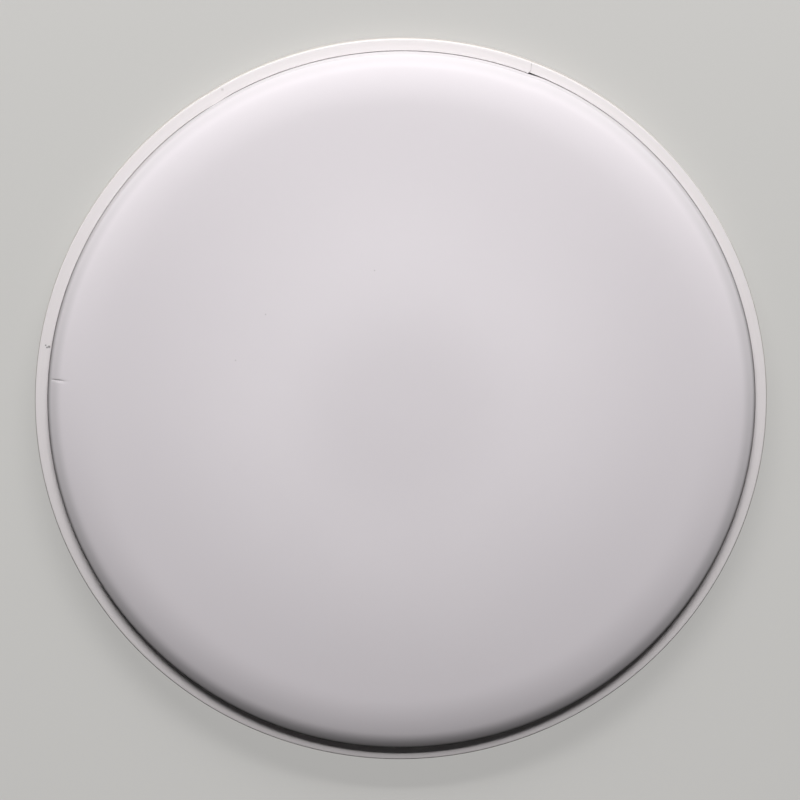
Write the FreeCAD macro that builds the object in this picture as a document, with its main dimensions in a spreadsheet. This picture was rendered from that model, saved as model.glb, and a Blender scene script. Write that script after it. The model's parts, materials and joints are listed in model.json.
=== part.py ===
import FreeCAD, Part
import math
import os
import Sketcher

# A 14 inch drum head: a moulded film whose hem is locked in a rolled aluminium channel.
# Millimetres. The channel stands on z = 0, its axis is Z, and the playing face looks up.

SIZES = {
    # The channel hoop, bent from one strip and butted at a seam.
    "bore_diameter": 358.8,
    "hoop_height": 9.5,
    "channel_wall": 0.9,
    "bend_radius": 0.4,
    "flange_setback": 0.45,
    "inner_wall_drop": 0.8,
    "seam_gap": 0.25,
    "seam_angle": 69,
    "seam_skew": 10,
    # The film, from the flat playing face out over the collar and down into the channel.
    "film_thickness": 0.25,
    "collar_height": 5.15,
    "crown_radius": 140,
    "crown_angle": 7.6,
    "haunch_radius": 33,
    "haunch_angle": 11.4,
    "shoulder_radius": 2,
    "flange_clearance": 0.15,
    "skirt_drop": 3.4,
    "skirt_bend_radius": 1.5,
    # The split wire ring inside the film's hem, and the adhesive that beds them both.
    "wire_diameter": 2.4,
    "wire_clearance": 0.1,
    "wire_split": 2,
    "wire_split_angle": 180,
    "bond_gap": 0.3,
    "glue_room": 1.15,
    "glue_drop": 1,
    "leg_cover": 1,
}

# Places that several pieces share, worked out from the sizes: radii first, then heights.
BORE_R = "Sizes.bore_diameter / 2"
POCKET_R = f"({BORE_R} + Sizes.channel_wall)"
SKIRT_R = f"({POCKET_R} + Sizes.bond_gap + Sizes.film_thickness)"
HEM_RADIUS = "(Sizes.wire_diameter / 2 + Sizes.wire_clearance)"
WIRE_R = f"({SKIRT_R} + {HEM_RADIUS})"
LEG_R = f"({WIRE_R} + {HEM_RADIUS})"
OUTER_POCKET_R = f"({LEG_R} + Sizes.film_thickness + Sizes.glue_room)"
OUTER_R = f"({OUTER_POCKET_R} + Sizes.channel_wall)"
FLANGE_R = f"({BORE_R} + Sizes.flange_setback)"
COLLAR_R = f"({FLANGE_R} - Sizes.flange_clearance)"

FLOOR_Z = "Sizes.channel_wall"
WIRE_Z = f"({FLOOR_Z} + Sizes.bond_gap + Sizes.film_thickness + {HEM_RADIUS})"
FLANGE_Z = "(Sizes.hoop_height - Sizes.channel_wall)"
SKIRT_Z = f"({FLANGE_Z} - Sizes.skirt_drop)"
INNER_WALL_Z = f"({SKIRT_Z} - Sizes.inner_wall_drop)"
GLUE_Z = f"({FLANGE_Z} - Sizes.glue_drop)"
LEG_Z = f"({GLUE_Z} - Sizes.leg_cover)"
FACE_Z = "(Sizes.hoop_height + Sizes.collar_height)"

# The numbers that sketches give to the points of a curve and to their own two axes.
START, END, CENTRE = range(1, 4)
HORIZONTAL_AXIS, VERTICAL_AXIS = range(-1, -3, -1)
ORIGIN = (HORIZONTAL_AXIS, START)
SAME_PLACE = 1e-6
UP = FreeCAD.Vector(0, 0, 1)

doc = FreeCAD.newDocument("DrumHead")
sheet = doc.addObject("Spreadsheet::Sheet", "Sizes")
for row, (name, number) in enumerate(SIZES.items(), start=1):
    sheet.set(f"A{row}", name)
    sheet.set(f"B{row}", str(number))
    sheet.setAlias(f"B{row}", name)
doc.recompute()


def value(expression):
    """The number that an expression of the sheet's sizes comes to."""
    return float(sheet.evalExpression(expression))


def origin_plane(body, role):
    for feature in body.Origin.OriginFeatures:
        if feature.Role == role:
            return feature
    raise ValueError(role)


def new_sketch(body, name, role):
    sketch = body.newObject("Sketcher::SketchObject", name)
    sketch.AttachmentSupport = [(origin_plane(body, role), "")]
    sketch.MapMode = "FlatFace"
    return sketch


def bind(sketch, kind, *arguments):
    """Adds a dimension whose last argument is an expression, and ties it to the sheet."""
    *places, expression = arguments
    number = value(expression)
    if kind == "Angle":
        number = math.radians(number)
    index = sketch.addConstraint(Sketcher.Constraint(kind, *places, number))
    sketch.setExpression(f"Constraints[{index}]", expression)


def place_point(sketch, point, across, up):
    """Ties a point's two coordinates, measured from the origin, to the sheet."""
    bind(sketch, "DistanceX", *ORIGIN, *point, across)
    bind(sketch, "DistanceY", *ORIGIN, *point, up)


def straight_outline(sketch, corners):
    """Closed outline of straight lines through corners given as expressions."""
    points = [FreeCAD.Vector(value(across), value(up), 0) for across, up in corners]
    for start, end in zip(points, points[1:] + points[:1]):
        sketch.addGeometry(Part.LineSegment(start, end))
    count = len(points)
    for line in range(count):
        after = (line + 1) % count
        sketch.addConstraint(Sketcher.Constraint("Coincident", line, END, after, START))
    for line, (across, up) in enumerate(corners):
        place_point(sketch, (line, START), across, up)


def full_turn(body, sketch, name):
    turn = body.newObject("PartDesign::Revolution", name)
    turn.Profile = sketch
    turn.ReferenceAxis = (sketch, ["V_Axis"])
    turn.Angle = 360
    doc.recompute()
    return turn


def ring_edges(shape, rings):
    """Names of the circular edges at the given (radius, height) places."""
    names = []
    for number, edge in enumerate(shape.Edges, start=1):
        if not isinstance(edge.Curve, Part.Circle):
            continue
        for radius, height in rings:
            off = math.hypot(edge.Curve.Radius - value(radius), edge.Curve.Center.z - value(height))
            if off < SAME_PLACE:
                names.append(f"Edge{number}")
    return names


def round_rings(body, base, name, rings, radius):
    fillet = body.newObject("PartDesign::Fillet", name)
    fillet.Base = (base, ring_edges(base.Shape, rings))
    fillet.setExpression("Radius", radius)
    doc.recompute()
    return fillet


def make_channel_hoop():
    """Strip bent to a channel: short inner wall, floor, outer wall, and a top rolled in over the hem."""
    body = doc.addObject("PartDesign::Body", "ChannelHoop")
    section = new_sketch(body, "ChannelSection", "XZ_Plane")
    straight_outline(section, [
        (BORE_R, "0"),
        (OUTER_R, "0"),
        (OUTER_R, "Sizes.hoop_height"),
        (FLANGE_R, "Sizes.hoop_height"),
        (FLANGE_R, FLANGE_Z),
        (OUTER_POCKET_R, FLANGE_Z),
        (OUTER_POCKET_R, FLOOR_Z),
        (POCKET_R, FLOOR_Z),
        (POCKET_R, INNER_WALL_Z),
        (BORE_R, INNER_WALL_Z),
    ])
    channel = full_turn(body, section, "Channel")
    outside = [(BORE_R, "0"), (OUTER_R, "0"), (OUTER_R, "Sizes.hoop_height")]
    inside = [(POCKET_R, FLOOR_Z), (OUTER_POCKET_R, FLOOR_Z), (OUTER_POCKET_R, FLANGE_Z)]
    bends = round_rings(body, channel, "OuterBends", outside, "Sizes.bend_radius + Sizes.channel_wall")
    bends = round_rings(body, bends, "InnerBends", inside, "Sizes.bend_radius")
    cut_seam(body, bends)
    return body


def cut_seam(body, hoop):
    """The butt joint of the strip's two ends: a thin slit, sawn a little off square."""
    slit = new_sketch(body, "SeamSlit", "XY_Plane")
    slit.setExpression("AttachmentOffset.Rotation.Angle", "Sizes.seam_angle")
    inner = f"({BORE_R} - Sizes.channel_wall)"
    outer = f"({OUTER_R} + Sizes.channel_wall)"
    lean = f"({outer} - {inner}) / 2 * tan(Sizes.seam_skew * 1 deg)"
    half_gap = "Sizes.seam_gap / 2"
    straight_outline(slit, [
        (inner, f"-{half_gap} - {lean}"),
        (outer, f"-{half_gap} + {lean}"),
        (outer, f"{half_gap} + {lean}"),
        (inner, f"{half_gap} - {lean}"),
    ])
    seam = body.newObject("PartDesign::Pocket", "Seam")
    seam.Profile = slit
    seam.Type = "ThroughAll"
    seam.Reversed = True
    doc.recompute()
    if seam.Shape.Volume >= hoop.Shape.Volume:
        raise RuntimeError("The seam cut nothing")


def make_film():
    """One sheet of even thickness: flat face, crown, haunch, shoulder, collar, and a hem round the wire."""
    body = doc.addObject("PartDesign::Body", "FilmLine")
    path = new_sketch(body, "FilmPath", "XZ_Plane")
    draw_film_path(path)
    sheet_section = doc.addObject("Part::Offset2D", "FilmSection")
    sheet_section.Source = path
    sheet_section.Mode = "Skin"
    sheet_section.Join = "Intersection"
    sheet_section.Fill = True
    sheet_section.setExpression("Value", "-Sizes.film_thickness")
    film = doc.addObject("Part::Revolution", "Film")
    film.Source = sheet_section
    film.Axis = UP
    film.Angle = 360
    film.Solid = True
    return film


def draw_film_path(path):
    """The film's upper side as tangent lines and arcs, from the axis out to the end of the hem.

    The face falls away over the wide crown and the tighter haunch to the shoulder. The collar is
    the straight run that passes the flange's lower edge with a clearance and meets the skirt,
    which stands upright inside the channel.
    """
    face_z = value(FACE_Z)
    skirt_r = value(SKIRT_R)
    skirt_z = value(SKIRT_Z)
    wire_z = value(WIRE_Z)
    leg_r = value(LEG_R)
    bend = value("Sizes.skirt_bend_radius")
    crown = value("Sizes.crown_radius")
    haunch = value("Sizes.haunch_radius")
    shoulder = value("Sizes.shoulder_radius")
    crown_end = math.radians(90 - value("Sizes.crown_angle"))
    haunch_end = crown_end - math.radians(value("Sizes.haunch_angle"))

    def spoke(length, turn):
        return FreeCAD.Vector(length * math.cos(turn), length * math.sin(turn), 0)

    def arc(centre, radius, first, last):
        return Part.ArcOfCircle(Part.Circle(centre, UP, radius), first, last)

    def line(first, last):
        return Part.LineSegment(FreeCAD.Vector(*first), FreeCAD.Vector(*last))

    collar_point = FreeCAD.Vector(value(COLLAR_R), value(FLANGE_Z), 0)
    bend_centre = FreeCAD.Vector(skirt_r - bend, skirt_z, 0)
    reach = collar_point - bend_centre
    normal_angle = math.atan2(reach.y, reach.x) - math.acos(bend / reach.Length)
    normal = spoke(1, normal_angle)
    collar_foot = bend_centre + normal * bend
    collar_way = FreeCAD.Vector(-normal.y, normal.x, 0)

    crown_to_haunch = spoke(crown - haunch, crown_end)
    haunch_to_shoulder = spoke(haunch - shoulder, haunch_end)
    shoulder_z = face_z - crown + crown_to_haunch.y + haunch_to_shoulder.y
    collar_head_z = shoulder_z + shoulder * normal.y
    collar_head = collar_foot + collar_way * ((collar_head_z - collar_foot.y) / collar_way.y)
    shoulder_centre = collar_head - normal * shoulder
    haunch_centre = shoulder_centre - haunch_to_shoulder
    crown_centre = haunch_centre - crown_to_haunch
    wire_centre = FreeCAD.Vector(value(WIRE_R), wire_z, 0)

    face_line = path.addGeometry(line((0, face_z), (crown_centre.x, face_z)))
    crown_arc = path.addGeometry(arc(crown_centre, crown, crown_end, math.pi / 2))
    haunch_arc = path.addGeometry(arc(haunch_centre, haunch, haunch_end, crown_end))
    shoulder_arc = path.addGeometry(arc(shoulder_centre, shoulder, normal_angle, haunch_end))
    collar_line = path.addGeometry(Part.LineSegment(collar_head, collar_foot))
    bend_arc = path.addGeometry(arc(bend_centre, bend, 0, normal_angle))
    skirt_line = path.addGeometry(line((skirt_r, skirt_z), (skirt_r, wire_z)))
    hem_arc = path.addGeometry(arc(wire_centre, wire_centre.x - skirt_r, math.pi, math.tau))
    leg_line = path.addGeometry(line((leg_r, wire_z), (leg_r, value(LEG_Z))))
    clear_point = path.addGeometry(Part.Point(collar_point), True)

    path.addConstraint([
        Sketcher.Constraint("PointOnObject", face_line, START, VERTICAL_AXIS),
        Sketcher.Constraint("Horizontal", face_line),
        Sketcher.Constraint("Tangent", face_line, END, crown_arc, END),
        Sketcher.Constraint("Tangent", crown_arc, START, haunch_arc, END),
        Sketcher.Constraint("Tangent", haunch_arc, START, shoulder_arc, END),
        Sketcher.Constraint("Tangent", shoulder_arc, START, collar_line, START),
        Sketcher.Constraint("Tangent", collar_line, END, bend_arc, END),
        Sketcher.Constraint("Tangent", bend_arc, START, skirt_line, START),
        Sketcher.Constraint("Vertical", skirt_line),
        Sketcher.Constraint("Tangent", skirt_line, END, hem_arc, START),
        Sketcher.Constraint("Tangent", hem_arc, END, leg_line, START),
        Sketcher.Constraint("Vertical", leg_line),
        Sketcher.Constraint("PointOnObject", clear_point, START, collar_line),
    ])
    bind(path, "DistanceY", *ORIGIN, face_line, START, FACE_Z)
    bind(path, "Radius", crown_arc, "Sizes.crown_radius")
    bind(path, "Angle", crown_arc, "Sizes.crown_angle")
    bind(path, "Radius", haunch_arc, "Sizes.haunch_radius")
    bind(path, "Angle", haunch_arc, "Sizes.haunch_angle")
    bind(path, "Radius", shoulder_arc, "Sizes.shoulder_radius")
    place_point(path, (clear_point, START), COLLAR_R, FLANGE_Z)
    bind(path, "Radius", bend_arc, "Sizes.skirt_bend_radius")
    place_point(path, (skirt_line, START), SKIRT_R, SKIRT_Z)
    place_point(path, (hem_arc, CENTRE), WIRE_R, WIRE_Z)
    bind(path, "DistanceY", *ORIGIN, leg_line, END, LEG_Z)


def make_lock_wire():
    """Steel wire ring in the film's hem, split so that it can be sprung in."""
    wire = doc.addObject("Part::Torus", "LockWire")
    wire.setExpression("Radius1", WIRE_R)
    wire.setExpression("Radius2", "Sizes.wire_diameter / 2")
    split_angle = f"(Sizes.wire_split / {WIRE_R}) * 180 / pi"
    wire.setExpression("Angle3", f"360 - {split_angle}")
    wire.setExpression("Placement.Base.z", WIRE_Z)
    wire.Placement.Rotation = FreeCAD.Rotation(UP, value("Sizes.wire_split_angle"))
    wire.setExpression("Placement.Rotation.Angle", "Sizes.wire_split_angle")
    return wire


def make_adhesive_bead(film):
    """Resin that fills the channel around the hem and the wire, and stops short of the flange."""
    body = doc.addObject("PartDesign::Body", "AdhesiveFill")
    section = new_sketch(body, "FillSection", "XZ_Plane")
    film_middle_r = f"({SKIRT_R} - Sizes.film_thickness / 2)"
    straight_outline(section, [
        (POCKET_R, FLOOR_Z),
        (OUTER_POCKET_R, FLOOR_Z),
        (OUTER_POCKET_R, GLUE_Z),
        (film_middle_r, GLUE_Z),
        (film_middle_r, INNER_WALL_Z),
        (POCKET_R, INNER_WALL_Z),
    ])
    fill = full_turn(body, section, "Fill")
    round_rings(body, fill, "FillBends", [(POCKET_R, FLOOR_Z), (OUTER_POCKET_R, FLOOR_Z)],
                "Sizes.bend_radius")
    around_film = doc.addObject("Part::Cut", "AdhesiveAroundFilm")
    around_film.Base = body
    around_film.Tool = film
    bead = doc.addObject("Part::Cut", "AdhesiveBead")
    bead.Base = around_film
    bead.Tool = make_wire_bed()
    return bead


def make_wire_bed():
    """The room that the wire takes up in the hem: round below it, square up to its top."""
    body = doc.addObject("PartDesign::Body", "WireBed")
    section = new_sketch(body, "BedSection", "XZ_Plane")
    bed_top_z = f"({WIRE_Z} + {HEM_RADIUS})"
    left = value(SKIRT_R)
    right = value(LEG_R)
    middle = value(WIRE_Z)
    top = value(bed_top_z)
    corners = [(left, middle), (left, top), (right, top), (right, middle)]
    points = [FreeCAD.Vector(*corner) for corner in corners]
    for start, end in zip(points, points[1:]):
        section.addGeometry(Part.LineSegment(start, end))
    round_floor = Part.Circle(FreeCAD.Vector(value(WIRE_R), middle), UP, value(HEM_RADIUS))
    floor_arc = section.addGeometry(Part.ArcOfCircle(round_floor, math.pi, math.tau))
    last_line = floor_arc - 1
    for line in range(last_line):
        section.addConstraint(Sketcher.Constraint("Coincident", line, END, line + 1, START))
    section.addConstraint(Sketcher.Constraint("Coincident", last_line, END, floor_arc, END))
    section.addConstraint(Sketcher.Constraint("Coincident", floor_arc, START, 0, START))
    place_point(section, (0, START), SKIRT_R, WIRE_Z)
    place_point(section, (0, END), SKIRT_R, bed_top_z)
    place_point(section, (last_line, START), LEG_R, bed_top_z)
    place_point(section, (last_line, END), LEG_R, WIRE_Z)
    bind(section, "DistanceY", *ORIGIN, floor_arc, CENTRE, WIRE_Z)
    full_turn(body, section, "Bed")
    return body


def main():
    hoop = make_channel_hoop()
    film = make_film()
    wire = make_lock_wire()
    bead = make_adhesive_bead(film)
    nodes = {"channel_hoop": hoop, "film": film, "lock_wire": wire, "adhesive_bead": bead}
    for node, piece in nodes.items():
        piece.Label = node
    doc.recompute()

    for thing in doc.Objects:
        if "Invalid" in thing.State or "Error" in thing.State:
            raise RuntimeError(f"{thing.Name} failed: {thing.State}")
    for node, piece in nodes.items():
        if piece.Shape.isNull() or not piece.Shape.isValid():
            raise RuntimeError(f"{node} has no valid shape")

    os.makedirs("parts", exist_ok=True)
    for node, piece in nodes.items():
        solids = len(piece.Shape.Solids)
        print(node, "solids", solids, "volume", round(piece.Shape.Volume, 2), piece.Shape.BoundBox)
        piece.Shape.exportStep(f"parts/{node}.step")


main()
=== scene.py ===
import json
import math

import bmesh
import bpy
from mathutils import Matrix, Vector, noise


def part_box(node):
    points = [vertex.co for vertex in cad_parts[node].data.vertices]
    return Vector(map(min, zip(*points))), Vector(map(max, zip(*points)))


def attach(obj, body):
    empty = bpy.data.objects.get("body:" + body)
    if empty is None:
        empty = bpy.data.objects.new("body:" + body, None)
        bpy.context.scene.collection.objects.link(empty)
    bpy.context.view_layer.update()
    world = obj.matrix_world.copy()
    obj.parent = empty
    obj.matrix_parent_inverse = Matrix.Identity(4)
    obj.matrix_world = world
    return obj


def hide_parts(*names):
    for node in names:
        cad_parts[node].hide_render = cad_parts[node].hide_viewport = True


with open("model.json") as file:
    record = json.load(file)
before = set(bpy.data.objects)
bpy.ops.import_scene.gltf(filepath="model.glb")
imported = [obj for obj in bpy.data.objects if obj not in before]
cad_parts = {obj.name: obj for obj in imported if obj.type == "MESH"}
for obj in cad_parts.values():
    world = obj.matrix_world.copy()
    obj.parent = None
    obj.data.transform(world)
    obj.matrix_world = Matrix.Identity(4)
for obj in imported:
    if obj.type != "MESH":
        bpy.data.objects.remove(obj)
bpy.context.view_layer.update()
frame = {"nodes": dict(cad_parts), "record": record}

# A drum head: a white moulded film whose hem is held in a rolled aluminium channel.
# Lengths are millimetres, which MM turns into the frame's metres, and angles are degrees.
# Angles round the head run anticlockwise from +X, as seen from above.
MM = 0.001

# What the frame says: how far the hoop and the film reach, and the bore that slips over a shell.
mounts = {mount["name"]: mount for mount in frame["record"]["mounts"]}
hoop_low, hoop_high = (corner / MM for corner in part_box("channel_hoop"))
film_low, film_high = (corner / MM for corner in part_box("film"))
BORE_R = mounts["shell_bore"]["dims"]["r_mm"]
OUTER_R = min(hoop_high.x, hoop_high.y, -hoop_low.x, -hoop_low.y)
HOOP_TOP = hoop_high.z
FACE_Z = film_high.z

# The hoop's section, bent from one strip. The flange's edge lies just outside the bore, and the flange
# falls a little outwards.
WALL = 0.9
INSIDE_BEND = 0.4
OUTSIDE_BEND = INSIDE_BEND + WALL
TOP_BEND = 0.6
EDGE_BREAK = 0.08
FLANGE_FALL = 0.1
FLANGE_SETBACK = 0.23
FLANGE_R = BORE_R + FLANGE_SETBACK
FLANGE_UNDERSIDE = HOOP_TOP - WALL
POCKET_R = BORE_R + WALL
OUTER_POCKET_R = OUTER_R - WALL
INNER_WALL_TOP = OUTSIDE_BEND + mounts["shell_bore"]["dims"]["length_mm"]

# The hoop's butt seam. It leans by its skew, which dies away along the rim, and hooks near the flange's
# edge.
SEAM_ANGLE = 69.2
SEAM_GAP = 0.13
SEAM_SKEW = 14
SEAM_SKEW_REACH = 14
SEAM_HOOK = 1.1
SEAM_HOOK_REACH = 1

# The small faults of a hand-closed hoop. The flange's edge is off centre towards +X, and stands out on the
# seam's clockwise side, which eases off along an arc. There is one kink, and a faint ripple all round.
EDGE_REACH = 2.6
EDGE_SHIFT = 0.3
EDGE_STEP = 0.55
EDGE_STEP_ARC = 35
EDGE_STEP_EASED = 2.5
KINK_ANGLE = 121
KINK_WIDTH = 1.6
KINK_DEPTH = 0.25
HOOP_RIPPLE = 0.03
HOOP_RIPPLE_LENGTH = 45
HOOP_RIPPLE_SEED = 0

# The film: flat face, crown, haunch, shoulder, upright collar, a slanting run under the flange to the
# skirt, which is bonded to the inner wall, and the hem that turns up round the wire and ends in a leg.
FILM = 0.25
CROWN_RADIUS = 140
CROWN_ANGLE = 7.6
HAUNCH_RADIUS = 33
HAUNCH_ANGLE = 13
SHOULDER_RADIUS = 1.8
COLLAR_GAP = 0.22
COLLAR_SHIFT = 0.1
COLLAR_R = FLANGE_R - COLLAR_GAP
COLLAR_DEPTH = 0.4
COLLAR_FOOT = HOOP_TOP - COLLAR_DEPTH
BOND_GAP = 0.3
SKIRT_R = POCKET_R + BOND_GAP + FILM
SKIRT_DROP = 3.4
SKIRT_Z = FLANGE_UNDERSIDE - SKIRT_DROP
SKIRT_BEND = 1.5
HEM_RADIUS = 1.3
HEM_CENTRE = Vector((film_high.x - FILM - HEM_RADIUS, film_low.z + FILM + HEM_RADIUS))
LEG_DROP = 2
LEG_TOP = FLANGE_UNDERSIDE - LEG_DROP

# How the film differs from a true turned shape. What shifts it outwards, its ripple and its keeping close
# to the flange's edge, grows between two radii, and the face's sag dies away towards the collar. The ripple
# and the sag are in full only well above the hoop.
SHOULDER_RIPPLE = 0.04
SHOULDER_RIPPLE_LENGTH = 16
SHOULDER_RIPPLE_SEED = 3
RIM_FROM_R = 155
RIM_FULL_R = 178
FACE_SAG = 0.12
FACE_SAG_LENGTH = 70
FACE_SAG_ENDS = 30
OVER_HOOP = 2

# A crease pressed into the film's haunch: steep on the side towards the lamp, gentle on the other.
# Going outwards, it starts at its tail, is in full between the next two radii, and has gone at its end.
CREASE_ANGLE = 175.5
CREASE_DEPTH = 0.14
CREASE_STEEP = 0.6
CREASE_GENTLE = 1.6
CREASE_TAIL_R = 169
CREASE_FULL_R = 174.5
CREASE_OUT_R = 176.4
CREASE_END_R = 178.2
CREASE_STEP = 0.1

# How finely the shapes are cut, round the head and along their sections, and how close points are joined.
STATIONS = 360
BEND_STEPS = 6
LONGEST_RUN = 0.9
FACE_STEPS = 14
CROWN_STEPS = 10
HAUNCH_STEPS = 12
SHOULDER_STEPS = 14
COLLAR_STEPS = 4
SKIRT_BEND_STEPS = 5
SKIRT_STEPS = 2
HEM_STEPS = 10
LEG_STEPS = 2
WELD = 0.001

# The UV map that each turned shape gets, named for the two distances that it holds.
STRIP_MAP = "round_and_along"


def linear(colour):
    """An sRGB hex colour as the linear RGBA that Blender's sockets take."""
    shares = [int(colour[place:place + 2], 16) / 255 for place in (1, 3, 5)]
    return [s / 12.92 if s <= 0.04045 else ((s + 0.055) / 1.055) ** 2.4 for s in shares] + [1]


def add(tree, kind, inputs=None, **settings):
    """Adds a node with its settings, and gives each input a value or links it to a socket."""
    made = tree.nodes.new(kind)
    for name, value in settings.items():
        setattr(made, name, value)
    for name, value in (inputs or {}).items():
        if isinstance(value, bpy.types.NodeSocket):
            tree.links.new(value, made.inputs[name])
        else:
            made.inputs[name].default_value = value
    return made


def per(size):
    """Texture scale that gives a pattern of that size in millimetres."""
    return 1 / (size * MM)


def new_material(name):
    """An empty material and its node tree."""
    material = bpy.data.materials.new(name)
    material.use_nodes = True
    material.node_tree.nodes.clear()
    return material, material.node_tree


def at_angle(radius, angle):
    """Point at that radius and angle round the head, in millimetres."""
    return Vector((radius * math.cos(math.radians(angle)), radius * math.sin(math.radians(angle))))


def smooth_step(value):
    """Goes from 0 to 1 as the value does, gently at both ends, and stays there outside them."""
    share = max(0, min(1, value))
    return share * share * (3 - 2 * share)


def ripple(angle, length, seed):
    """Smooth noise from -1 to 1 round the rim, whose waves are about that long."""
    turn = at_angle(OUTER_R / length, angle)
    return noise.noise(Vector((turn.x, turn.y, seed)))


def rounded_outline(corners):
    """Closed outline through corners (across, up, radius), with its straights cut into short runs."""
    arcs = []
    for before, corner, after in zip(corners[-1:] + corners[:-1], corners, corners[1:] + corners[:1]):
        here = Vector(corner[:2])
        radius = corner[2]
        back = (Vector(before[:2]) - here).normalized()
        ahead = (Vector(after[:2]) - here).normalized()
        half = back.angle(ahead) / 2
        centre = here + (back + ahead).normalized() * (radius / math.sin(half))
        first = (here + back * (radius / math.tan(half)) - centre).normalized()
        last = (here + ahead * (radius / math.tan(half)) - centre).normalized()
        shares = [step / BEND_STEPS for step in range(BEND_STEPS + 1)]
        arcs.append([centre + first.slerp(last, share) * radius for share in shares])
    points = []
    for arc, next_arc in zip(arcs, arcs[1:] + arcs[:1]):
        points += arc
        gap = next_arc[0] - arc[-1]
        runs = math.ceil(gap.length / LONGEST_RUN)
        points += [arc[-1] + gap * (run / runs) for run in range(1, runs)]
    return points


def lengths(line):
    """How far along a line each of its points lies."""
    along = [0]
    for here, after in zip(line, line[1:]):
        along.append(along[-1] + (after - here).length)
    return along


def lathe_mesh(name, section, along, angles, place, closed_section, full_turn):
    """Carries a section of (across, up) points round the axis; place gives each point's position.

    The UV map holds the distance round the rim and the given distance along the section, in metres.
    """
    shape = bmesh.new()
    rows = [[shape.verts.new(place(point, angle) * MM) for point in section] for angle in angles]
    strip_map = shape.loops.layers.uv.new(STRIP_MAP)
    columns = len(section) if closed_section else len(section) - 1
    turns = len(rows) if full_turn else len(rows) - 1
    for row in range(turns):
        for column in range(columns):
            corners = [(row, column), (row + 1, column), (row + 1, column + 1), (row, column + 1)]
            face = shape.faces.new(rows[r % len(rows)][c % len(section)] for r, c in corners)
            face.smooth = True
            for loop, (r, c) in zip(face.loops, corners):
                turn = angles[r] if r < len(angles) else angles[0] + 360
                loop[strip_map].uv = (math.radians(turn) * OUTER_R * MM, along[c] * MM)
    if not full_turn:
        for end in (rows[0], rows[-1]):
            cap = shape.faces.new(end)
            for edge in cap.edges:
                edge.smooth = False
    bmesh.ops.remove_doubles(shape, verts=shape.verts, dist=WELD * MM)
    bmesh.ops.recalc_face_normals(shape, faces=shape.faces)
    mesh = bpy.data.meshes.new(name)
    shape.to_mesh(mesh)
    shape.free()
    piece = bpy.data.objects.new(name, mesh)
    bpy.context.scene.collection.objects.link(piece)
    return piece


def hoop_section():
    """The channel: short inner wall, floor, outer wall, and a top rolled in over the hem."""
    return rounded_outline([
        (BORE_R, 0, OUTSIDE_BEND),
        (OUTER_R, 0, OUTSIDE_BEND),
        (OUTER_R, HOOP_TOP - FLANGE_FALL, TOP_BEND),
        (FLANGE_R, HOOP_TOP, EDGE_BREAK),
        (FLANGE_R, FLANGE_UNDERSIDE, EDGE_BREAK),
        (OUTER_POCKET_R, FLANGE_UNDERSIDE - FLANGE_FALL, INSIDE_BEND),
        (OUTER_POCKET_R, WALL, INSIDE_BEND),
        (POCKET_R, WALL, INSIDE_BEND),
        (POCKET_R, INNER_WALL_TOP, EDGE_BREAK),
        (BORE_R, INNER_WALL_TOP, EDGE_BREAK),
    ])


def edge_step(angle, eased=0):
    """How far out the flange's edge stands: it is a bit off centre, and its two ends don't quite meet.

    The film, which can't jump as the ends do, eases into the step over a few degrees.
    """
    to_seam = (SEAM_ANGLE - angle) % 360
    step = EDGE_STEP * smooth_step(1 - to_seam / EDGE_STEP_ARC)
    if to_seam < eased:
        step *= smooth_step(to_seam / eased)
    return at_angle(EDGE_SHIFT, angle).x + step


def hoop_place(point, angle):
    """Where a point of the hoop's section lies, with the uneven flange, the kink and the skewed seam."""
    radius, height = point
    if height >= INNER_WALL_TOP + WALL:
        radius += edge_step(angle) * smooth_step((FLANGE_R + EDGE_REACH - radius) / EDGE_REACH)

    kink = (angle - KINK_ANGLE) / KINK_WIDTH
    radius -= KINK_DEPTH * math.exp(-kink * kink)
    radius -= HOOP_RIPPLE * (1 + ripple(angle, HOOP_RIPPLE_LENGTH, HOOP_RIPPLE_SEED))

    from_seam = abs((angle - SEAM_ANGLE + 180) % 360 - 180)
    arc = math.radians(from_seam) * radius
    lean = (radius - (BORE_R + OUTER_R) / 2) * math.tan(math.radians(SEAM_SKEW))
    hook = (FLANGE_R + EDGE_STEP + SEAM_HOOK_REACH - radius) / SEAM_HOOK_REACH
    lean += SEAM_HOOK * smooth_step(hook)
    turn = angle + math.degrees(lean / radius) * smooth_step(1 - arc / SEAM_SKEW_REACH)
    return at_angle(radius, turn).to_3d() + Vector((0, 0, height))


def make_hoop():
    """The hoop as one strip that runs from one side of its seam round to the other."""
    half_gap = math.degrees(SEAM_GAP / 2 / OUTER_R)
    sweep = 360 - 2 * half_gap
    angles = [SEAM_ANGLE + half_gap + sweep * station / STATIONS for station in range(STATIONS + 1)]
    section = hoop_section()
    along = lengths(section + section[:1])
    return lathe_mesh(
        "rolled_channel_hoop", section, along, angles, hoop_place, closed_section=True, full_turn=False)


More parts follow.
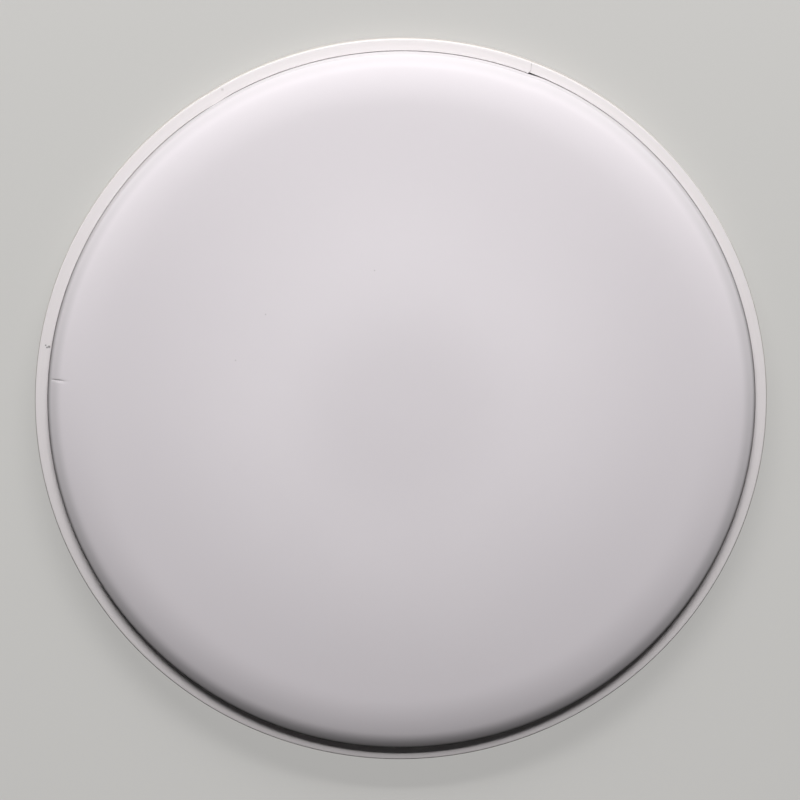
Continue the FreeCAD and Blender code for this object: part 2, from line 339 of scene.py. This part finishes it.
def film_line():
    """The film's outward side from the axis to the end of its hem, as points with their normals."""
    collar_foot = Vector((COLLAR_R, COLLAR_FOOT))
    bend_centre = Vector((SKIRT_R - SKIRT_BEND, SKIRT_Z))
    reach = collar_foot - bend_centre
    run_turn = math.degrees(math.atan2(reach.y, reach.x) - math.acos(SKIRT_BEND / reach.length))
    run_foot = bend_centre + at_angle(SKIRT_BEND, run_turn)
    crown_end = 90 - CROWN_ANGLE
    haunch_end = crown_end - HAUNCH_ANGLE

    crown_to_haunch = at_angle(CROWN_RADIUS - HAUNCH_RADIUS, crown_end)
    haunch_to_shoulder = at_angle(HAUNCH_RADIUS - SHOULDER_RADIUS, haunch_end)
    collar_top = Vector((COLLAR_R, FACE_Z - CROWN_RADIUS + crown_to_haunch.y + haunch_to_shoulder.y))
    shoulder_centre = collar_top - Vector((SHOULDER_RADIUS, 0))
    haunch_centre = shoulder_centre - haunch_to_shoulder
    crown_centre = haunch_centre - crown_to_haunch

    line = []

    def straight(start, end, normal, steps):
        line.extend((start.lerp(end, step / steps), normal) for step in range(steps))

    def arc(centre, radius, first, last, steps, side=1):
        for step in range(steps):
            spoke = at_angle(1, first + (last - first) * step / steps)
            line.append((centre + spoke * radius, spoke * side))

    outward = Vector((1, 0))
    leg_r = HEM_CENTRE.x + HEM_RADIUS
    straight(Vector((0, FACE_Z)), Vector((crown_centre.x, FACE_Z)), Vector((0, 1)), FACE_STEPS)
    arc(crown_centre, CROWN_RADIUS, 90, crown_end, CROWN_STEPS)
    arc(haunch_centre, HAUNCH_RADIUS, crown_end, haunch_end, HAUNCH_STEPS)
    arc(shoulder_centre, SHOULDER_RADIUS, haunch_end, 0, SHOULDER_STEPS)
    straight(collar_top, collar_foot, outward, COLLAR_STEPS)
    straight(collar_foot, run_foot, at_angle(1, run_turn), COLLAR_STEPS)
    arc(bend_centre, SKIRT_BEND, run_turn, 0, SKIRT_BEND_STEPS)
    straight(Vector((SKIRT_R, SKIRT_Z)), Vector((SKIRT_R, HEM_CENTRE.y)), outward, SKIRT_STEPS)
    arc(HEM_CENTRE, HEM_RADIUS, 180, 360, HEM_STEPS, side=-1)
    straight(Vector((leg_r, HEM_CENTRE.y)), Vector((leg_r, LEG_TOP)), -outward, LEG_STEPS)
    line.append((Vector((leg_r, LEG_TOP)), -outward))
    return line


def crease(radius, angle):
    """How far the film is pressed down at a place by the one crease."""
    along_rim = math.radians(angle - CREASE_ANGLE) * radius
    wall = -along_rim / CREASE_STEEP if along_rim < 0 else along_rim / CREASE_GENTLE
    tail = smooth_step((radius - CREASE_TAIL_R) / (CREASE_FULL_R - CREASE_TAIL_R))
    end = smooth_step((CREASE_END_R - radius) / (CREASE_END_R - CREASE_OUT_R))
    return CREASE_DEPTH * smooth_step(1 - wall) * tail * end


def film_place(point, angle):
    """Where a point of the film's section lies.

    The face sags a little, the shoulder ripples, and the collar keeps close to the flange's edge,
    with a bit more room on the +Y side.
    """
    radius, height = point
    spot = at_angle(radius, angle).to_3d()
    over_hoop = smooth_step((height - HOOP_TOP) / OVER_HOOP)
    rim = (radius - RIM_FROM_R) / (RIM_FULL_R - RIM_FROM_R)
    outwards = over_hoop * SHOULDER_RIPPLE * ripple(angle, SHOULDER_RIPPLE_LENGTH, SHOULDER_RIPPLE_SEED)
    follow = edge_step(angle, EDGE_STEP_EASED) - at_angle(COLLAR_SHIFT, angle).y
    outwards += follow * smooth_step((height - LEG_TOP) / LEG_DROP)
    spot += spot.normalized() * (smooth_step(rim) * outwards)
    on_face = smooth_step((COLLAR_R - radius) / FACE_SAG_ENDS)
    sag = FACE_SAG * on_face * (1 + noise.noise(spot / FACE_SAG_LENGTH))
    return spot + Vector((0, 0, height - over_hoop * (sag + crease(radius, angle))))


def make_film():
    """The film as one closed shell, with more stations where its crease is."""
    line = film_line()
    outside = [point for point, normal in line]
    inside = [point - normal * FILM for point, normal in line]
    angles = [360 * station / STATIONS for station in range(STATIONS)]
    across = CREASE_STEEP + CREASE_GENTLE
    for step in range(round(across / CREASE_STEP) + 1):
        angles.append(CREASE_ANGLE + math.degrees((step * CREASE_STEP - CREASE_STEEP) / COLLAR_R))
    section = outside + inside[::-1]
    along = lengths(outside)
    along += along[::-1]
    return lathe_mesh(
        "moulded_film", section, along, sorted(angles), film_place, closed_section=False, full_turn=True)


# Finishes. Each starts from what the real surface is and how it was made.
# A mark is given as its distance from the axis, its angle and its radius.

# The film's colour. Its rings start and end at these distances from the axis, taken along the film. The
# greyer middle, the greyer rim and the darker ring over the shoulder are painted shade, which dims the face
# and holds the shoulder's highlight down.
FILM_WHITE = "#F0EAEE"
FILM_CLOUD = "#ECE6EA"
FILM_CLOUD_SIZE = 90
FILM_MIDDLE_SHADE = "#E9E3E7"
FILM_RIM_SHADE = "#E4DEE2"
FILM_SHOULDER_SHADE = "#D3CED1"
# The bare film's own grey, darkened further as painted shade where the collar drops into the gap by the
# flange.
FILM_BARE_AND_SHADE = "#A6A2A4"
MIDDLE_SHADE_FULL = 20
UNSHADED_AT = 65
RIM_SHADE_FULL = 150
SHOULDER_SHADE_STARTS = 172.2
SHOULDER_SHADE_FULL = 176.6
COAT_BREAKS = 177.8
COAT_ENDS = 179.8
FILM_GRAIN = 1.1
FILM_GRAIN_DEPTH = 0.05
FILM_SMOOTHEST = 0.74
FILM_ROUGHEST = 0.84
FILM_SPECK = "#CFC9CC"
FILM_SPECKS = [(70.8, 101.1, 0.6), (83.3, 145.4, 0.6), (87.2, 164.1, 0.6)]

# The hoop's metal. A facing is the upward share of a surface's normal: 0 on a wall and 1 on the flat.
HOOP_PALE = "#F5EFF0"
HOOP_STREAK = "#EEE8E9"
# The walls and bends are painted a darker grey than the flange: painted shade, which keeps the walls that
# face the lamps from glaring.
HOOP_WALL_SHADE = "#B8B3AF"
BEND_FACING = 0.85
FLANGE_FACING = 0.995
WALL_METALLIC = 0.7
WALL_SHEEN_FACING = 0.2
FLANGE_METALLIC = 0.1
FLANGE_SHEEN_FACING = 0.6
STREAK_LENGTH = 60
STREAK_WIDTH = 0.8
HOOP_SMOOTHEST = 0.52
HOOP_ROUGHEST = 0.64
PIT_SIZE = 1.4
PIT_DEPTH = 0.05
HOOP_DIRT = "#6E6967"
HOOP_SMUDGES = [(180.6, 170.35, 1), (181.6, 170.5, 0.7), (182.4, 170.2, 0.6)]
HOOP_SCUFF = "#D8D2D1"
HOOP_SCUFFS = [(183.6, 119.2, 1.2)]

# The wire and the resin in the channel.
WIRE_GREY = "#9A9A9C"
WIRE_FLECK_SIZE = 0.8
WIRE_SMOOTHEST = 0.3
WIRE_ROUGHEST = 0.45
RESIN_STRAW = "#CDB98C"
RESIN_CLOUD = "#BFA878"
RESIN_CLOUD_SIZE = 6

# Several sockets of the Mix node have the same name, so those for colours are found by their numbers.
MIX_SHARE = 0
MIX_FIRST = 6
MIX_SECOND = 7
MIX_RESULT = 2


def mottled(tree, place, size, first, second, detail):
    """Two colours in soft patches of about that size in millimetres."""
    patches = add(tree, "ShaderNodeTexNoise", {"Vector": place, "Scale": per(size), "Detail": detail})
    return add(tree, "ShaderNodeMix", {
        MIX_SHARE: patches.outputs["Fac"], MIX_FIRST: first, MIX_SECOND: second,
    }, data_type="RGBA").outputs[MIX_RESULT]


def faded(tree, first, second, value, start, end):
    """A colour that turns into a second one, gently, while a value goes from start to end."""
    share = add(tree, "ShaderNodeMapRange", {
        "Value": value, "From Min": start, "From Max": end,
    }, interpolation_type="SMOOTHSTEP").outputs["Result"]
    return add(tree, "ShaderNodeMix", {
        MIX_SHARE: share, MIX_FIRST: first, MIX_SECOND: second,
    }, data_type="RGBA").outputs[MIX_RESULT]


def seen_from_above(tree):
    """The place on the head with its height left out."""
    place = add(tree, "ShaderNodeTexCoord").outputs["Object"]
    flat = add(tree, "ShaderNodeVectorMath", {0: place, 1: (1, 1, 0)}, operation="MULTIPLY")
    return flat.outputs["Vector"]


def from_axis(tree):
    """Distance from the head's axis, in millimetres."""
    metres = add(tree, "ShaderNodeVectorMath", {0: seen_from_above(tree)}, operation="LENGTH")
    millimetres = add(tree, "ShaderNodeMath", {0: metres.outputs["Value"], 1: MM}, operation="DIVIDE")
    return millimetres.outputs[0]


def along_section(tree):
    """Distance along a piece's section from where it starts, in millimetres."""
    metres = add(tree, "ShaderNodeUVMap", uv_map=STRIP_MAP).outputs["UV"]
    millimetres = add(tree, "ShaderNodeVectorMath", {0: metres, "Scale": 1 / MM}, operation="SCALE")
    return add(tree, "ShaderNodeSeparateXYZ", {"Vector": millimetres.outputs["Vector"]}).outputs["Y"]


def marked(tree, colour, mark_colour, marks):
    """Lays soft round marks over a colour."""
    for radius, angle, size in marks:
        middle = at_angle(radius, angle).to_3d() * MM
        distance = add(tree, "ShaderNodeVectorMath", {
            0: seen_from_above(tree), 1: middle}, operation="DISTANCE").outputs["Value"]
        colour = faded(tree, colour, linear(mark_colour), distance, size * MM, 0)
    return colour


def coated_polyester_film():
    """Polyester film moulded hot over a former, then coated white on its upper side.

    The coat gives an even satin white with a hint of pink and faint clouds. The film is painted a shade
    greyer in the middle and towards the rim, and darker in a ring over the shoulder: painted shade, which
    dims the face and holds the shoulder's highlight down. On the steep collar the coat ends, and the bare
    film there is darker, partly for being bare and partly as painted shade in the gap by the flange.
    Its grain is finer than shown here: it is drawn coarse enough to show at all.
    """
    material, tree = new_material("coated_polyester_film")
    place = add(tree, "ShaderNodeTexCoord").outputs["Object"]
    grain = add(tree, "ShaderNodeTexNoise", {
        "Vector": place, "Scale": per(FILM_GRAIN), "Detail": 2, "Roughness": 0.6}).outputs["Fac"]
    out = along_section(tree)
    white = mottled(tree, place, FILM_CLOUD_SIZE, linear(FILM_WHITE), linear(FILM_CLOUD), detail=3)
    # Painted shade: the greyer middle, the greyer rim and the darker ring over the shoulder.
    white = faded(tree, white, linear(FILM_MIDDLE_SHADE), out, UNSHADED_AT, MIDDLE_SHADE_FULL)
    white = faded(tree, white, linear(FILM_RIM_SHADE), out, UNSHADED_AT, RIM_SHADE_FULL)
    white = faded(tree, white, linear(FILM_SHOULDER_SHADE), out, SHOULDER_SHADE_STARTS, SHOULDER_SHADE_FULL)
    # The bare film: partly its own grey, partly painted shade at the collar.
    white = faded(tree, white, linear(FILM_BARE_AND_SHADE), out, COAT_BREAKS, COAT_ENDS)
    white = marked(tree, white, FILM_SPECK, FILM_SPECKS)
    satin = add(tree, "ShaderNodeMapRange", {
        "Value": grain, "To Min": FILM_SMOOTHEST, "To Max": FILM_ROUGHEST})
    bump = add(tree, "ShaderNodeBump", {
        "Height": grain, "Strength": 0.05, "Distance": FILM_GRAIN_DEPTH * MM})
    shader = add(tree, "ShaderNodeBsdfPrincipled", {
        "Base Color": white, "Roughness": satin.outputs["Result"], "IOR": 1.5,
        "Specular IOR Level": 0.2, "Normal": bump.outputs["Normal"]})
    add(tree, "ShaderNodeOutputMaterial", {"Surface": shader.outputs["BSDF"]})
    return material


def satin_anodised_aluminium():
    """Aluminium strip, rolled, etched matt and clear anodised.

    The etch scatters light nearly as paper does on the flange; the walls keep more of the metal's sheen.
    The walls and bends are painted a darker grey as shade, so that those facing the lamps don't glare.
    Faint rolling lines run along the strip. They and the pits of the etch are drawn coarser than real
    ones, so that they show.
    """
    material, tree = new_material("satin_anodised_aluminium")
    strip = add(tree, "ShaderNodeUVMap", uv_map=STRIP_MAP).outputs["UV"]
    place = add(tree, "ShaderNodeTexCoord").outputs
    stretched = add(tree, "ShaderNodeMapping", {
        "Vector": strip, "Scale": (per(STREAK_LENGTH), per(STREAK_WIDTH), 1)}).outputs["Vector"]
    lines = add(tree, "ShaderNodeTexNoise", {
        "Vector": stretched, "Scale": 1, "Detail": 3}).outputs["Fac"]
    pits = add(tree, "ShaderNodeTexNoise", {
        "Vector": place["Object"], "Scale": per(PIT_SIZE), "Detail": 2, "Roughness": 0.7}).outputs["Fac"]
    facing_up = add(tree, "ShaderNodeSeparateXYZ", {"Vector": place["Normal"]}).outputs["Z"]
    pale = add(tree, "ShaderNodeMix", {
        MIX_SHARE: lines, MIX_FIRST: linear(HOOP_PALE), MIX_SECOND: linear(HOOP_STREAK),
    }, data_type="RGBA").outputs[MIX_RESULT]
    # Painted shade: the walls and bends take the darker grey.
    pale = faded(tree, linear(HOOP_WALL_SHADE), pale, facing_up, BEND_FACING, FLANGE_FACING)
    pale = marked(tree, pale, HOOP_SCUFF, HOOP_SCUFFS)
    pale = marked(tree, pale, HOOP_DIRT, HOOP_SMUDGES)
    matt = add(tree, "ShaderNodeMapRange", {
        "Value": lines, "To Min": HOOP_SMOOTHEST, "To Max": HOOP_ROUGHEST})
    sheen = add(tree, "ShaderNodeMapRange", {
        "Value": facing_up, "From Min": WALL_SHEEN_FACING, "From Max": FLANGE_SHEEN_FACING,
        "To Min": WALL_METALLIC, "To Max": FLANGE_METALLIC})
    bump = add(tree, "ShaderNodeBump", {
        "Height": pits, "Strength": 0.1, "Distance": PIT_DEPTH * MM})
    shader = add(tree, "ShaderNodeBsdfPrincipled", {
        "Base Color": pale, "Metallic": sheen.outputs["Result"], "Roughness": matt.outputs["Result"],
        "Normal": bump.outputs["Normal"]})
    add(tree, "ShaderNodeOutputMaterial", {"Surface": shader.outputs["BSDF"]})
    return material


def drawn_steel_wire():
    """Steel wire drawn through a die: bright grey metal with small duller flecks, drawn coarse to show."""
    material, tree = new_material("drawn_steel_wire")
    place = add(tree, "ShaderNodeTexCoord").outputs["Object"]
    flecks = add(tree, "ShaderNodeTexNoise", {
        "Vector": place, "Scale": per(WIRE_FLECK_SIZE), "Detail": 3}).outputs["Fac"]
    dull = add(tree, "ShaderNodeMapRange", {
        "Value": flecks, "To Min": WIRE_SMOOTHEST, "To Max": WIRE_ROUGHEST})
    shader = add(tree, "ShaderNodeBsdfPrincipled", {
        "Base Color": linear(WIRE_GREY), "Metallic": 1, "Roughness": dull.outputs["Result"]})
    add(tree, "ShaderNodeOutputMaterial", {"Surface": shader.outputs["BSDF"]})
    return material


def cast_epoxy_resin():
    """Epoxy poured into the channel and cured: glossy straw-coloured resin with a cloudy depth."""
    material, tree = new_material("cast_epoxy_resin")
    place = add(tree, "ShaderNodeTexCoord").outputs["Object"]
    straw = mottled(tree, place, RESIN_CLOUD_SIZE, linear(RESIN_STRAW), linear(RESIN_CLOUD), detail=2)
    shader = add(tree, "ShaderNodeBsdfPrincipled", {"Base Color": straw, "Roughness": 0.25, "IOR": 1.55})
    add(tree, "ShaderNodeOutputMaterial", {"Surface": shader.outputs["BSDF"]})
    return material


def dress(piece, material):
    """Gives a piece its finish."""
    piece.data.materials.clear()
    piece.data.materials.append(material)


hoop = make_hoop()
dress(hoop, satin_anodised_aluminium())
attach(hoop, "root")
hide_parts("channel_hoop")

film = make_film()
dress(film, coated_polyester_film())
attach(film, "root")
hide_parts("film")

dress(frame["nodes"]["lock_wire"], drawn_steel_wire())
dress(frame["nodes"]["adhesive_bead"], cast_epoxy_resin())


# The studio: a paper sweep all round, two strip lamps beyond the head's top edge, the camera above.

# The sweep is a flat disc, a cove and a wall. Its paper takes and throws back light near the head only.
# To the eye it has its lit colour and a glow, and what it throws back has a colour of its own.
SWEEP_FLAT_R = 2600
SWEEP_COVE = 900
SWEEP_COVE_STEP = 10
SWEEP_HEIGHT = 2200
SWEEP_STATIONS = 96
FLOOR_NEAR_R = 350
FLOOR_FAR_R = 1300
FLOOR_LIT = "#777674"
FLOOR_FIBRE = "#757472"
FLOOR_FIBRE_SIZE = 3
FLOOR_GLOW = "#ABAAA8"
FLOOR_GLOW_FAR = "#C0BFBD"
FLOOR_BOUNCE = "#BDBCBA"
FLOOR_UNLIT = "#000000"

LAMP_DISTANCE = 1650
LAMP_WIDTH = 1800
HIGH_LAMP = {"elevation": 30, "height": 110, "watts": 24.5}
LOW_LAMP = {"elevation": 19.5, "height": 500, "watts": 35.5}
ROOM_WHITE = "#FFFFFF"
ROOM_LEVEL = 0.026

# The camera looks at a point that is level with the hoop's top and a little off the axis.
CAMERA_DISTANCE = 2000
CAMERA_TILT = 10.02
CAMERA_LEAN = 6.28
CAMERA_LENS = 177.4
CAMERA_SENSOR = 36
AIM_RIGHT = -0.75
AIM_UP = 2.37


def pale_matt_paper():
    """Matt paper, pale to the eye far out too, where it throws no light back: the studio is dark.

    Its fibres are drawn coarser than real ones, so that they show.
    """
    material, tree = new_material("pale_matt_paper")
    rays = add(tree, "ShaderNodeLightPath").outputs
    seen = rays["Is Camera Ray"]
    for kind in ("Is Glossy Ray", "Is Transmission Ray"):
        seen = add(tree, "ShaderNodeMath", {0: seen, 1: rays[kind]}, operation="MAXIMUM").outputs[0]
    place = add(tree, "ShaderNodeTexCoord").outputs["Object"]
    out = from_axis(tree)
    unlit = linear(FLOOR_UNLIT)
    pale = mottled(tree, place, FLOOR_FIBRE_SIZE, linear(FLOOR_LIT), linear(FLOOR_FIBRE), detail=4)
    pale = faded(tree, unlit, pale, out, FLOOR_FAR_R, FLOOR_NEAR_R)
    glow = faded(tree, linear(FLOOR_GLOW_FAR), linear(FLOOR_GLOW), out, FLOOR_FAR_R, FLOOR_NEAR_R)
    bounce = faded(tree, unlit, linear(FLOOR_BOUNCE), out, FLOOR_FAR_R, FLOOR_NEAR_R)
    lit = add(tree, "ShaderNodeBsdfDiffuse", {"Color": pale}).outputs["BSDF"]
    shine = add(tree, "ShaderNodeEmission", {"Color": glow}).outputs["Emission"]
    bright = add(tree, "ShaderNodeAddShader", {0: lit, 1: shine}).outputs[0]
    dim = add(tree, "ShaderNodeBsdfDiffuse", {"Color": bounce}).outputs["BSDF"]
    paper = add(tree, "ShaderNodeMixShader", {0: seen, 1: dim, 2: bright})
    add(tree, "ShaderNodeOutputMaterial", {"Surface": paper.outputs[0]})
    return material


def make_floor():
    """The paper sweep, which faces inwards and up."""
    cove_centre = Vector((SWEEP_FLAT_R, SWEEP_COVE))
    cove = [cove_centre + at_angle(SWEEP_COVE, turn) for turn in range(-90, 1, SWEEP_COVE_STEP)]
    section = [Vector((0, 0)), *cove, Vector((SWEEP_FLAT_R + SWEEP_COVE, SWEEP_HEIGHT))]
    angles = [360 * station / SWEEP_STATIONS for station in range(SWEEP_STATIONS)]

    def place(point, angle):
        return at_angle(point.x, angle).to_3d() + Vector((0, 0, point.y))

    floor = lathe_mesh(
        "paper_sweep", section, lengths(section), angles, place, closed_section=False, full_turn=True)
    floor.data.flip_normals()
    floor.data.materials.append(pale_matt_paper())


def make_lamp(elevation, height, watts):
    """A strip lamp beyond the head's top edge, which faces the head and isn't seen itself."""
    lamp = bpy.data.lights.new("softbox", "AREA")
    lamp.shape = "RECTANGLE"
    lamp.size = LAMP_WIDTH * MM
    lamp.size_y = height * MM
    lamp.energy = watts
    stand = bpy.data.objects.new("softbox", lamp)
    bpy.context.scene.collection.objects.link(stand)
    towards = at_angle(LAMP_DISTANCE, elevation)
    stand.location = Vector((0, towards.x, towards.y)) * MM
    stand.rotation_euler = stand.location.to_track_quat("Z", "Y").to_euler()
    stand.visible_camera = False


def make_world():
    """The little light that the dark studio throws back from all sides."""
    world = bpy.data.worlds.new("dark_studio")
    world.use_nodes = True
    tree = world.node_tree
    tree.nodes.clear()
    room = add(tree, "ShaderNodeBackground", {"Color": linear(ROOM_WHITE), "Strength": ROOM_LEVEL})
    add(tree, "ShaderNodeOutputWorld", {"Surface": room.outputs[0]})
    bpy.context.scene.world = world


def make_camera():
    """Stands above the head, tilted back towards its top edge and leaning a little to the left."""
    tilt = math.radians(CAMERA_TILT)
    lean = math.radians(CAMERA_LEAN)
    back = Vector((-math.sin(tilt) * math.sin(lean), math.sin(tilt) * math.cos(lean), math.cos(tilt)))
    up = (Vector((0, 1, 0)) - back * back.y).normalized()
    right = up.cross(back)
    camera = bpy.data.cameras.new("camera")
    camera.lens = CAMERA_LENS
    camera.sensor_width = CAMERA_SENSOR
    stand = bpy.data.objects.new("camera", camera)
    bpy.context.scene.collection.objects.link(stand)
    turn = Matrix((right, up, back)).transposed().to_4x4()
    aim = Vector((0, 0, HOOP_TOP)) + right * AIM_RIGHT + up * AIM_UP
    stand.matrix_world = Matrix.Translation((aim + back * CAMERA_DISTANCE) * MM) @ turn
    bpy.context.scene.camera = stand


make_floor()
make_lamp(**HIGH_LAMP)
make_lamp(**LOW_LAMP)
make_world()
make_camera()
bpy.context.scene.view_settings.view_transform = "Standard"
